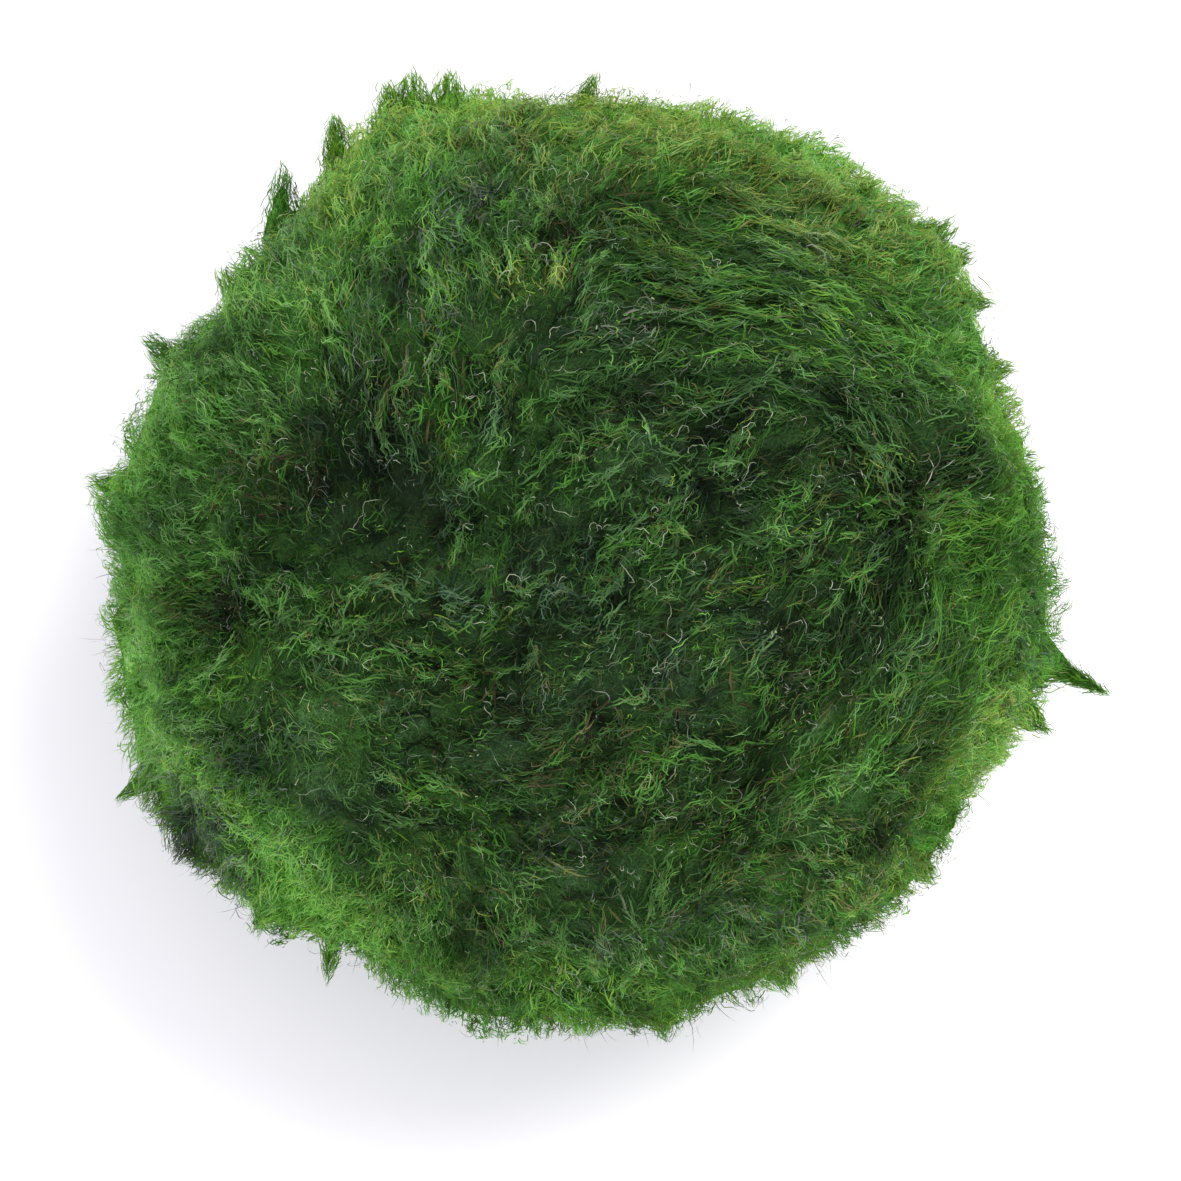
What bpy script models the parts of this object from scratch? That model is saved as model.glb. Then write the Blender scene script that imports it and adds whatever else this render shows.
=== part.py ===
"""A marimo moss ball: one shaggy ball of green filaments, about 50 mm across, pressed flat where it rests.

Metres, +Z up, origin in the middle of the resting spot. The ball is described as it is looked at: from above
and a little in front, with +X to the right and +Y away. A spot on it has two angles. `turn` runs round the
outline, anticlockwise from the right-hand side, and `out` runs from the middle of the view (0 degrees) over
the outline (90) to the far side (180).
"""

import math

import bmesh
import bpy
from mathutils import Matrix, Vector, noise

NAME = "moss_ball"
BODY_RADIUS = 0.0240  # the matted body under the locks
BODY_HEIGHT_SHARE = 0.965  # a wet ball sinks a little under its own weight
REST_DEPTH = 0.0017  # how much of the underside is pressed flat
BODY_SUBDIVISIONS = 5
VIEW_TILT = math.radians(12)  # how far the line of sight leans forward from straight down

# Uneven growth: two layers of noise, each with the size of its swellings and how high they stand.
SWELLINGS = ((0.0080, 0.00100), (0.0040, 0.00075))

# Lumps and hollows: turn, out, height (negative for a hollow) and how far it spreads, in degrees of the ball.
LUMPS = (
    (110, 86, 0.0013, 15),  # the shoulder at the back left
    (138, 88, -0.0025, 12),  # the dent beside the shoulder
    (150, 88, 0.0014, 5),
    (95, 88, -0.0012, 6),
    (77, 88, -0.0007, 4),
    (61, 88, 0.0015, 6),
    (40, 88, 0.0012, 10),  # the corner at the back right
    (28, 88, -0.0016, 4),
    (0, 88, -0.0006, 4),
    (347, 90, 0.0010, 12),
    (331, 90, -0.0006, 4),
    (314, 88, 0.0015, 5),
    (302, 90, 0.0004, 4),
    (318, 88, -0.0007, 16),
    (290, 90, -0.0006, 5),
    (280, 92, 0.0007, 9),
    (252, 88, 0.0010, 7),
    (242, 88, -0.0008, 10),
    (230, 90, -0.0009, 4),
    (213, 100, 0.0020, 11),  # the ledge that the left front leans on
    (218, 92, 0.0011, 4),
    (226, 80, 0.0009, 9),
    (185, 90, 0.0007, 7),
    (165, 88, -0.0006, 4),
    (149, 41, -0.0015, 8),
    (158, 29, -0.0012, 7),
    (231, 19, -0.0010, 6),
    (281, 19, -0.0012, 6),
    (36, 18, -0.0010, 6),
    (6, 49, -0.0013, 7),
    (189, 55, -0.0012, 7),
    (88, 44, -0.0009, 6),
    (60, 35, 0.0007, 11),
    (200, 40, 0.0007, 9),
    (300, 45, 0.0006, 10),
)

# Locks that stand out from the outline. Turn and out of the tip, its distance from the middle of the ball,
# the way the lock points in the view (degrees, anticlockwise from the right), its length and its width.
STANDING_LOCKS = (
    (346, 92, 0.0281, 332, 0.0062, 0.0036),  # the long spike on the right
    (340, 92, 0.0261, 320, 0.0046, 0.0034),
    (335, 97, 0.0248, 318, 0.0044, 0.0032),
    (127, 91, 0.0258, 85, 0.0050, 0.0018),  # the tuft that stands apart at the back left
    (119, 88, 0.0266, 96, 0.0046, 0.0024),
    (112, 88, 0.0267, 96, 0.0046, 0.0026),
    (109, 88, 0.0268, 90, 0.0046, 0.0026),
    (105, 88, 0.0263, 88, 0.0044, 0.0032),
    (88, 87, 0.0254, 66, 0.0038, 0.0016),
    (141, 88, 0.0240, 122, 0.0040, 0.0024),
    (153, 88, 0.0253, 142, 0.0042, 0.0026),
    (171, 88, 0.0259, 166, 0.0036, 0.0022),
    (207, 96, 0.0262, 200, 0.0044, 0.0024),
    (212, 101, 0.0266, 226, 0.0050, 0.0034),
    (219, 101, 0.0266, 240, 0.0050, 0.0034),
    (223, 97, 0.0257, 258, 0.0042, 0.0028),
    (229, 92, 0.0258, 246, 0.0042, 0.0026),
    (239, 90, 0.0259, 262, 0.0040, 0.0018),
    (280, 98, 0.0257, 266, 0.0046, 0.0034),
    (296, 92, 0.0251, 300, 0.0040, 0.0028),
    (318, 90, 0.0251, 316, 0.0040, 0.0028),
    (52, 87, 0.0250, 22, 0.0046, 0.0028),
    (42, 87, 0.0261, 34, 0.0048, 0.0032),
    (38, 87, 0.0259, 12, 0.0046, 0.0030),
    (32, 88, 0.0253, 356, 0.0044, 0.0028),
    (24, 88, 0.0247, 6, 0.0042, 0.0026),
)

# How the moss is combed: turn and out of a place, and the way that the filaments point there in the view.
COMBING = (
    (125, 60, 94),
    (100, 60, 82),
    (160, 70, 140),
    (70, 62, 350),
    (45, 65, 345),
    (20, 70, 20),
    (0, 62, 240),
    (340, 75, 250),
    (0, 20, 220),
    (90, 25, 215),
    (180, 30, 75),
    (180, 75, 185),
    (215, 70, 225),
    (250, 70, 265),
    (270, 35, 205),
    (285, 75, 280),
    (320, 60, 250),
)
COMBING_BLUR = 0.02  # how softly one place's combing runs into the next

# Combed locks, which lie along the body, spread evenly over the whole ball.
COMBED_LOCKS = 54
LOCK_LENGTH = 0.0092
LOCK_WIDTH = 0.0044
LOCK_VARIETY = 0.30  # how much the locks differ in size
LOCK_VARIETY_PITCH = 7  # how quickly their size changes round the ball
LOCK_SINK = 0.0010  # how deep a combed lock starts in the body
LOCK_TIP_LIFT = 0.0007  # how far its tip stands off the body
LOCK_LIFT_CURVE = 1.3  # over 1, a lock stays low near its root and lifts towards its tip
LOCK_THICKNESS_SHARE = 0.55  # of the width
LOCK_SIDES = 5
LOCK_RINGS = 3
TIP_SHARE = 0.08  # the tip's width, as a share of the root's
TAPER_CURVE = 0.7  # under 1, a lock narrows late and ends in a round point
TAPER_FULLNESS = 1.2  # how far it swells before it narrows
LEAST_ROOT_HEIGHT = 0.0035  # no lock grows from the flat spot or its edge

MOSS_COLOR = (0.045, 0.115, 0.022)
MOSS_ROUGHNESS = 0.9
SHARP_ANGLE = math.radians(50)  # edges sharper than this stay creased

BALL_MIDDLE = Vector((0, 0, BODY_RADIUS * BODY_HEIGHT_SHARE - REST_DEPTH))
GOLDEN_ANGLE = math.pi * (3 - math.sqrt(5))


def seen(turn, out):
    """The direction from the middle of the ball to a spot."""
    around, away = math.radians(turn), math.radians(out)
    flat = Vector((math.cos(around) * math.sin(away), math.sin(around) * math.sin(away), math.cos(away)))
    return Matrix.Rotation(VIEW_TILT, 3, "X") @ flat


def pointing(heading):
    """A heading in the view, as a direction."""
    return seen(heading, 90)


def surface(direction):
    """The point of the body's surface in a direction from its middle."""
    radius = BODY_RADIUS
    for turn, out, height, spread in LUMPS:
        angle = direction.angle(seen(turn, out))
        radius += height * math.exp(-0.5 * (angle / math.radians(spread)) ** 2)
    for size, height in SWELLINGS:
        radius += height * noise.noise(direction * (BODY_RADIUS / size))
    point = direction * radius
    point.z *= BODY_HEIGHT_SHARE
    return BALL_MIDDLE + point


def combed(direction):
    """The way the moss is combed at a spot: the nearby combing directions, weighted by nearness."""
    total = Vector()
    for turn, out, heading in COMBING:
        nearness = direction.angle(seen(turn, out)) ** 2 + COMBING_BLUR
        total += pointing(heading) / nearness**2
    return total.normalized()


def material(name, color, roughness):
    made = bpy.data.materials.new(name)
    made.use_nodes = True
    shader = made.node_tree.nodes["Principled BSDF"]
    shader.inputs["Base Color"].default_value = (*color, 1)
    shader.inputs["Roughness"].default_value = roughness
    shader.inputs["Metallic"].default_value = 0
    return made


def collection(name):
    made = bpy.data.collections.new(name)
    bpy.context.scene.collection.children.link(made)
    return made


def add(bm, name, home):
    mesh = bpy.data.meshes.new(name)
    bm.to_mesh(mesh)
    bm.free()
    made = bpy.data.objects.new(name, mesh)
    home.objects.link(made)
    return made


def body(home):
    """The matted ball, with its swellings, lumps and hollows."""
    bm = bmesh.new()
    bmesh.ops.create_icosphere(bm, subdivisions=BODY_SUBDIVISIONS, radius=1)
    for vertex in bm.verts:
        vertex.co = surface(vertex.co.normalized())
    return add(bm, NAME, home)


def taper(share):
    """The half width of a lock along its length, as a share of the root's: full to past the middle."""
    return TIP_SHARE + (1 - TIP_SHARE) * (1 - share) ** TAPER_CURVE * (1 + TAPER_FULLNESS * share)


def lock(home, name, spine, width):
    """One lock: a prism drawn out along a spine, which gives a point, and the ways across and out, at a share
    of the lock's length."""
    bm = bmesh.new()
    bmesh.ops.create_cone(bm, cap_ends=True, segments=LOCK_SIDES, radius1=1, radius2=1, depth=1)
    upright = [edge for edge in bm.edges if abs(edge.verts[0].co.z - edge.verts[1].co.z) > 0.5]
    bmesh.ops.subdivide_edges(bm, edges=upright, cuts=LOCK_RINGS - 1)
    for vertex in bm.verts:
        share = vertex.co.z + 0.5
        point, across, outward = spine(share)
        half = taper(share) * width / 2
        side = across * vertex.co.x * half
        vertex.co = point + side + outward * vertex.co.y * half * LOCK_THICKNESS_SHARE
    bmesh.ops.recalc_face_normals(bm, faces=bm.faces)
    made = add(bm, name, home)
    made.hide_render = True
    made.display_type = "WIRE"


def standing_locks(home):
    """Locks that point straight out of the body, each placed by its tip."""
    for number, (turn, out, reach, heading, length, width) in enumerate(STANDING_LOCKS):
        tip = BALL_MIDDLE + seen(turn, out) * reach
        along = pointing(heading)
        across = along.cross(seen(0, 0)).normalized()
        start = tip - along * length
        lock(
            home,
            f"standing_lock_{number}",
            lambda share: (start + along * length * share, across, seen(0, 0)),
            width,
        )


def combed_locks(home):
    """Locks that lie along the body, and lift off it towards their tips."""
    for number in range(COMBED_LOCKS):
        height = 1 - (2 * number + 1) / COMBED_LOCKS
        ring = math.sqrt(1 - height**2)
        angle = number * GOLDEN_ANGLE
        direction = Vector((ring * math.cos(angle), ring * math.sin(angle), height))
        if surface(direction).z < LEAST_ROOT_HEIGHT:
            continue
        size = 1 + LOCK_VARIETY * noise.noise(direction * LOCK_VARIETY_PITCH)
        over = direction.cross(combed(direction)).normalized()
        sweep = LOCK_LENGTH * size / BODY_RADIUS

        def spine(share):
            away = Matrix.Rotation(sweep * share, 3, over) @ direction
            lift = (LOCK_SINK + LOCK_TIP_LIFT) * share**LOCK_LIFT_CURVE - LOCK_SINK
            return surface(away) + away * lift, over, away

        lock(home, f"combed_lock_{number}", spine, LOCK_WIDTH * size)


def fuse(base, locks):
    """Grow the locks and the body together into one solid."""
    union = base.modifiers.new("locks", "BOOLEAN")
    union.operation = "UNION"
    union.operand_type = "COLLECTION"
    union.collection = locks
    fused = bpy.data.meshes.new_from_object(
        base.evaluated_get(bpy.context.evaluated_depsgraph_get())
    )
    base.modifiers.clear()
    base.data = fused


def press_flat(base):
    """Press the underside flat at the floor, where the ball rests."""
    bm = bmesh.new()
    bm.from_mesh(base.data)
    everything = bm.verts[:] + bm.edges[:] + bm.faces[:]
    cut = bmesh.ops.bisect_plane(
        bm, geom=everything, plane_co=(0, 0, 0), plane_no=(0, 0, 1), clear_inner=True
    )
    rim = [item for item in cut["geom_cut"] if isinstance(item, bmesh.types.BMEdge)]
    bmesh.ops.contextual_create(bm, geom=rim)
    bmesh.ops.recalc_face_normals(bm, faces=bm.faces)
    bm.to_mesh(base.data)
    bm.free()


def main():
    for old in list(bpy.data.objects):
        bpy.data.objects.remove(old, do_unlink=True)
    parts = collection("marimo_moss_ball")
    locks = collection("locks_to_fuse")
    ball = body(parts)
    standing_locks(locks)
    combed_locks(locks)
    bpy.context.view_layer.update()
    fuse(ball, locks)
    press_flat(ball)
    ball.data.shade_smooth()
    ball.data.set_sharp_from_angle(angle=SHARP_ANGLE)
    ball.data.materials.clear()
    ball.data.materials.append(material("moss", MOSS_COLOR, MOSS_ROUGHNESS))


main()
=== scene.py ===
"""The looks of a marimo moss ball: a dark felted body under a combed coat of fine green filaments.

Metres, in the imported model's frame. The ball is seen from above and a little in front. Places on its near
half are given as pixels of that 1181 x 1181 view, and ways to point there as degrees, anticlockwise from the
right.
"""

from math import atan, cos, pi, radians, sin, sqrt
from types import SimpleNamespace as Values

import bmesh
import bpy
import numpy as np
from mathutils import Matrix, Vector
from mathutils.bvhtree import BVHTree
from mathutils.kdtree import KDTree


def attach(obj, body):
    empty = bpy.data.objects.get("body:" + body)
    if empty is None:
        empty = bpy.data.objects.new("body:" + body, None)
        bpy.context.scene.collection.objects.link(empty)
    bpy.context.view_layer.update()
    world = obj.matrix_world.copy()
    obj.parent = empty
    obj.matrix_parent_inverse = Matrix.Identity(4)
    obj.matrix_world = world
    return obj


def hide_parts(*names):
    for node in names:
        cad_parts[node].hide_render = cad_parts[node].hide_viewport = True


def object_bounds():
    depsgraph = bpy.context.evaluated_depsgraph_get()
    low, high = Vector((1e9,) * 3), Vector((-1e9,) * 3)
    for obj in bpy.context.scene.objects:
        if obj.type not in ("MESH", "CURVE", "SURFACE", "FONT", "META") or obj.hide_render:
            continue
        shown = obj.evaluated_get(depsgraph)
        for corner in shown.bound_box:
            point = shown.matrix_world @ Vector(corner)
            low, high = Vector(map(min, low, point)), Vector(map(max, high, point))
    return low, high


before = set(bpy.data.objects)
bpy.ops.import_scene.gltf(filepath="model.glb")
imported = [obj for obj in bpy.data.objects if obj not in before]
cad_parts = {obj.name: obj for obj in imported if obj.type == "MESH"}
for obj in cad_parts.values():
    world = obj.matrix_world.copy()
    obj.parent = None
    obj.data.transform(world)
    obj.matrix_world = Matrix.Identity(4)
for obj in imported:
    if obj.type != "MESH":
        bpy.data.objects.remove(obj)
solid_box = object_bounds()

# The view.
PHOTO_SIDE = 1181
PIXEL = 0.0000524  # one pixel at the ball
BALL_PIXEL = (579, 559)  # the middle of the ball
VIEW_ELEVATION = radians(78)
CAMERA_DISTANCE = 0.32
RIGHT = np.array((1.0, 0.0, 0.0))
UP = np.array((0.0, sin(VIEW_ELEVATION), cos(VIEW_ELEVATION)))
TOWARD = np.array((0.0, -cos(VIEW_ELEVATION), sin(VIEW_ELEVATION)))

# The ball.
BALL_HEIGHT = solid_box[1][2] - solid_box[0][2]
MIDDLE_SHARE = 0.475  # how high the middle lies, as a share of the height
MIDDLE = np.array((0.0, 0.0, MIDDLE_SHARE * BALL_HEIGHT))
MEAN_RADIUS = 0.0248
WELL_OUTSIDE = 0.06  # farther from the middle than any point of the ball
OUTLINE_REACH = 0.0258  # pixels this far from the middle lie on the outline
FLOOR_GAP = 0.00015

# The felted body: its depth under the tips of the coat and the share of that on the outline, its bumps, its
# tone as a share of the coat's, darker as painted shade in the coat's gaps, and how much less that is in the
# middle of the view, more painted shade where the view looks deep into the coat, its webs of crinkled lines
# (how fine and how sharp each is) and its patches (how fine and how detailed).
FELT = Values(
    subdivisions=5, depth=0.00075, rim_depth=0.75, bump_size=0.0024, bump_height=0.0002, tone=0.82,
    darkening=0.29, lines=((2300, 16), (3700, 14), (5600, 12)), patches=(700, 3),
)

SEED = 11
LOCKS = 5200
# The locks that the coat is made of, which stand together in clumps. A pair for swing, bend, rise or lengths
# is the value where the moss is combed, and what is added where it is wholly tangled. The rise is how
# steeply a lock's strands start, and the lift's painted light how much lighter a raised lock is painted, for
# each metre. The side's painted shade is how much darker a strand is on its lock's sides.
LOCK = Values(
    nodes=8, length=0.0036, lengths=(1.4, -0.8), length_variety=0.3, length_range=(0.3, 2), radius=0.00028,
    radius_variety=0.35, radius_range=(0.4, 1.9), taper=0.6, fullness=1.2, roundness=0.8, depth=0.8,
    clump_size=0.0028, clump_heights=(0.00022, 0.00012), lift=-0.0001, lift_variety=0.00022,
    lift_range=(-0.0006, 0.00035), lift_light=500, rise=(0.2, 0.1), rise_variety=0.12, swing=(0.08, 0.42),
    bend=(0.2, 0.6), hues=0.055, tones=0.24, tone=0.07, tone_range=(-0.48, 0.28), side_shade=0.13,
)
NEAR_DENSITY = 0.3  # how much more of the coat the near half has
UNDERSIDE = 0.75  # the thinner coat starts this far under the middle, as a share of the radius
UNDERSIDE_THINNING = 0.6

# The filaments' tips lean together in small brushes: how far they are pulled, over the ball and more where
# they point out of it, and how high and how far out the brushes meet.
BRUSHES = 2600
BRUSH = Values(pull=(0.1, 0.5), pulls=(0.5, 1.2), height=0.0002, lean=0.0007)

# The strands of the coat, and wisps that stand for several filaments side by side: the points along one, how
# crinkled it is, how far it follows the way out of the ball, how much neighbours differ in hue and in tone,
# how twisted they are, and how light one is from its root to its tip: painted shade, darker towards the
# root where it lies deep in the coat, and for a wisp at both ends.
STRAND = Values(
    nodes=4, crinkle=1.0, outward=1.0, hues=0.03, tones=0.022, twist=0.7, light=(0.66, 0.38, 0.4, 2.0)
)
WISP = Values(
    nodes=5, crinkle=0.5, outward=0.25, hues=0.01, tones=0.02, twist=0.2, light=(0.5, 0.55, 0.35, 2.4)
)
STRANDS_PER_PIECE = 32500
# What all the strands share, in such pairs too. What starts with outward is for moss that points out of the
# ball. A strand climbs at its root and lies level at its tip. The outward painted light lightens the tips of
# moss that points out of the ball.
FLEECE = Values(
    lengths=(0.55, 1.35), tangled=(1.35, -0.6), outward_loss=0.35, widths=(0.7, 1.3), narrowing=0.45,
    wisp_ends=0.4, off=0.5, most_off=1.2, fanning=0.25, yaw=0.12, bend=(0.3, 0.5), crimp=(0.26, 0.4),
    outward_crimp=0.15, outward_rise=0.6, rises=0.15, rise_range=(-0.1, 1.2), climb=1.2, outward_climb=0.7,
    crimp_climb=0.6, outward_lift=0.0003, outward_light=0.12, loose_lifts=(-0.0003, 0.0001),
    loose_tones=0.08,
)
# Strands that leave their lock: their share, and as many more where the moss points out of the ball.
STRAY = Values(share=0.05, yaw=0.5, climb=(0.35, 0.3), lift=0.0004, width=0.75, light=0.08)
DEAD_SHARE = 0.065  # brown strands
DEAD_HUES = (0, 0.16)
LIGHT_SHARE = 0.06  # light strands
LIGHT_TONES = (0.06, 0.24)
WISP_HUES = 40  # how many strips the wisps' map has side by side
WISP_STREAKS = 3.5  # filaments side by side in a wisp
WISP_STRIP = 0.47  # half the width of a wisp's strip that is used
WISP_PAINTED_EDGE_SHADE = 0.55  # how much darker its sides are painted: painted shade, as on a round bundle of filaments
STRIP = 0.006  # half the width of a strand in the map
OWN_SHADING = 0.3  # how much a ribbon's own way to face counts in its shading
MOST_TWIST = 1.3
HUE_RANGE = (0.01, 0.93)
TONE_RANGE = (0.01, 0.97)
TONE_RUN = 0.01  # the map's least length along a strand
RIM_CONTRAST = 0.45  # how much neighbours differ on the outline, as a share of the middle of the view

# The curved filaments on the coat: how far apart the curls of a bunch lie, how far a bunch turns off the
# combed way (swing) and its curls differ (yaw), and their light and dark beads.
CURL = Values(
    nodes=7, scatter=0.0004, swing=0.8, yaw=0.5, kink=1.8, hook=0.9, height=0.0001, heights=0.0002,
    arch=0.22, waver=0.00002, widths=(0.6, 1.3), profile=(0.5, 0.9, 0.4, 2.4), light=(0.7, 0.3, 0, 3),
    tones=0.06, twist=0.5, bead=0.95, beads=0.3, bead_range=(0.3, 1.6),
)

# The single hairs that stand out of the coat, painted darker towards their roots as shade.
BRISTLE = Values(
    count=4500, length=0.0005, extra_length=0.0012, width=0.000024, lean=0.7, variety=0.25, bend=0.2,
    height=-0.0001, narrowing=0.6, hues=(0.45, 0.9), tones=(0.3, 0.75), root_tone=0.8, tip_light=0.2,
)

# How the moss is combed: where, which way the filaments point, and how tangled they are.
COMBING = (
    (120, 480, 150, 0.6), (180, 340, 128, 0.4), (250, 280, 112, 0.6), (300, 200, 100, 0.6),
    (390, 120, 92, 0.6), (330, 330, 88, 0.5), (420, 250, 88, 0.6), (480, 130, 84, 0.6), (560, 150, 80, 0.7),
    (520, 230, 96, 0.8), (610, 120, 30, 0.5), (640, 200, 340, 0.5), (700, 130, 60, 0.5),
    (760, 180, 350, 0.4), (740, 270, 350, 0.4), (850, 240, 352, 0.4), (680, 350, 356, 0.4),
    (800, 340, 352, 0.4), (900, 330, 345, 0.4), (960, 290, 20, 0.4), (1000, 400, 30, 0.4),
    (900, 430, 320, 0.6), (720, 420, 15, 0.7), (600, 400, 350, 0.8), (480, 400, 85, 0.8),
    (370, 460, 80, 0.8), (250, 440, 120, 0.7), (450, 520, 60, 1), (560, 540, 50, 0.9), (680, 540, 38, 0.7),
    (800, 560, 35, 0.6), (640, 620, 42, 0.6), (760, 650, 50, 0.5), (900, 620, 58, 0.3), (990, 600, 55, 0.2),
    (1040, 540, 30, 0.3), (960, 700, 50, 0.3), (1040, 690, 335, 0.2), (860, 740, 50, 0.6),
    (740, 760, 48, 0.7), (900, 850, 330, 0.7), (820, 900, 320, 0.7), (600, 720, 20, 0.9),
    (500, 650, 35, 0.9), (380, 600, 10, 0.9), (280, 560, 160, 0.9), (170, 620, 175, 0.7),
    (320, 700, 340, 0.9), (420, 760, 350, 0.9), (540, 820, 20, 0.9), (660, 880, 60, 0.7),
    (220, 740, 200, 0.6), (160, 780, 205, 0.5), (190, 850, 235, 0.5), (280, 860, 240, 0.6),
    (360, 960, 250, 0.6), (480, 1000, 270, 0.6), (560, 950, 285, 0.7), (660, 1010, 275, 0.6),
    (760, 960, 310, 0.6),
)
# How softly one place's combing runs into the next, how much of it is lost at the far end, the stray swirls
# that take over there (their shares on the near half and at the far end), and how far the coat droops.
COMB = Values(
    blur=0.004, far_loss=0.7, swirl_size=0.02, swirl=(0.15, 0.95), fine_size=0.0065, fine_swirl=0.3,
    softness=0.04, droop=0.48, droop_start=0.6,
)

# The coat's hue and tone: in the middle of the view, how they change to the outline, and their patches, each
# with its size, its strength and its seed. The tone's rise to the outline of the view, less on the far half,
# is painted light.
COAT = Values(
    hue=0.605, rim_hue=0.15, hue_patches=((0.01, 0.025, 21), (0.004, 0.03, 22)), tone=0.417,
    rim_tone=0.22, outline_tone=0.1, far_loss=0.6, broad_patches=(0.008, 0.03, 23), far_patches=0.03,
    tone_patches=((0.0034, 0.035, 26), (0.0014, 0.048, 27), (0.00075, 0.085, 28)),
)
# The marks' sides wander by some pixels. The far half has the same marks, turned by some degrees, and weaker.
MARK = Values(
    wander=7, wander_size=0.004, pull=1.15, strength=1.1, rim_share=0.9, fade=5, far_turn=-60,
    far_strength=0.6,
)
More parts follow.
